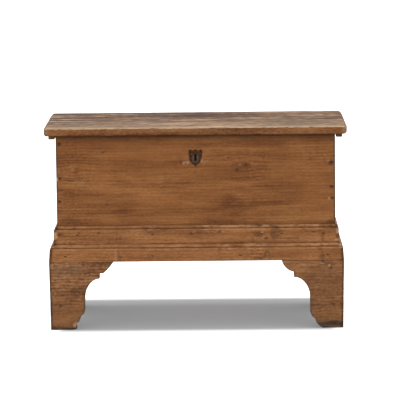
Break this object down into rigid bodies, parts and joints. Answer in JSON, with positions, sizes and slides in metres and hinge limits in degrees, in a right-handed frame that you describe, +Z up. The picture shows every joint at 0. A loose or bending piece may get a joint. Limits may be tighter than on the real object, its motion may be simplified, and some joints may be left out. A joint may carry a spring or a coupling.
{
  "type": "blanket chest",
  "caption": "Boarded wooden blanket chest on scrolled bracket feet, with a hinged lid, beaded waist and base mouldings, and an iron shield escutcheon over a chest lock.",
  "frame": {"origin": "on the floor under the middle of the lid", "axes": "+X along the chest to its right as seen from the front, -Y towards the front, +Z up"},
  "size_m": [1.04, 0.49, 0.698],
  "materials": {
    "lid_wood": "dry, weathered top, worn pale front arris",
    "case_wood": "old waxed finish with knots and stains",
    "moulding_wood": "old waxed finish, rubbed edges",
    "foot_wood": "old waxed finish, dark worn toes",
    "batten_wood": "dark dry wood",
    "back_wood": "unwaxed dry wood",
    "inner_wood": "bare dry wood",
    "escutcheon_iron": "browned sheet iron",
    "hinge_iron": "forged black iron",
    "lock_iron": "filed iron, browned",
    "nail_iron": "forged iron, rusted dark"
  },
  "bodies": {
    "carcase": {"front_board": "case_wood", "back_board": "back_wood", "end_board_left": "case_wood", "end_board_right": "case_wood", "bottom_plank_front": "inner_wood", "bottom_plank_middle": "inner_wood", "bottom_plank_back": "inner_wood", "bottom_cleat_front": "inner_wood", "bottom_cleat_back": "inner_wood", "bottom_cleat_left": "inner_wood", "bottom_cleat_right": "inner_wood", "waist_moulding_front": "moulding_wood", "waist_moulding_left": "moulding_wood", "waist_moulding_right": "moulding_wood", "base_rail_front": "moulding_wood", "base_rail_left": "moulding_wood", "base_rail_right": "moulding_wood", "front_foot_left": "foot_wood", "front_foot_right": "foot_wood", "side_foot_front_left": "foot_wood", "side_foot_front_right": "foot_wood", "side_foot_back_left": "foot_wood", "side_foot_back_right": "foot_wood", "rear_foot_left": "inner_wood", "rear_foot_right": "inner_wood", "foot_block_front_left": "inner_wood", "foot_block_front_right": "inner_wood", "foot_block_back_left": "inner_wood", "foot_block_back_right": "inner_wood", "corner_nails": "nail_iron", "waist_moulding_nails": "nail_iron", "base_rail_nails": "nail_iron", "foot_nails": "nail_iron", "bottom_nails": "nail_iron", "cleat_nails": "nail_iron", "hinge_leaf_left": "hinge_iron", "hinge_leaf_right": "hinge_iron", "hinge_leaf_nails": "hinge_iron", "hinge_pins": "hinge_iron", "escutcheon": "escutcheon_iron", "escutcheon_pins": "escutcheon_iron", "lock_plate": "lock_iron", "lock_case": "lock_iron", "lock_spring": "lock_iron", "lock_key_pin": "lock_iron", "lock_screws": "lock_iron"},
    "lid": {"lid_board": "lid_wood", "lid_batten_left": "batten_wood", "lid_batten_right": "batten_wood", "lid_batten_nails": "nail_iron", "hinge_strap_left": "hinge_iron", "hinge_strap_right": "hinge_iron", "hinge_strap_nails": "hinge_iron", "lock_catch": "lock_iron", "lock_catch_screws": "lock_iron"},
    "bolt": {"lock_bolt": "lock_iron"}
  },
  "joints": [
    {"name": "lid_hinge", "type": "hinge", "parent": "carcase", "child": "lid", "pos_m": [0, 0.229, 0.6672], "axis": [-1, 0, 0], "range_deg": [0, 112]},
    {"name": "bolt_slide", "type": "slide", "parent": "carcase", "child": "bolt", "axis": [1, 0, 0], "range_m": [0, 0.008]}
  ]
}
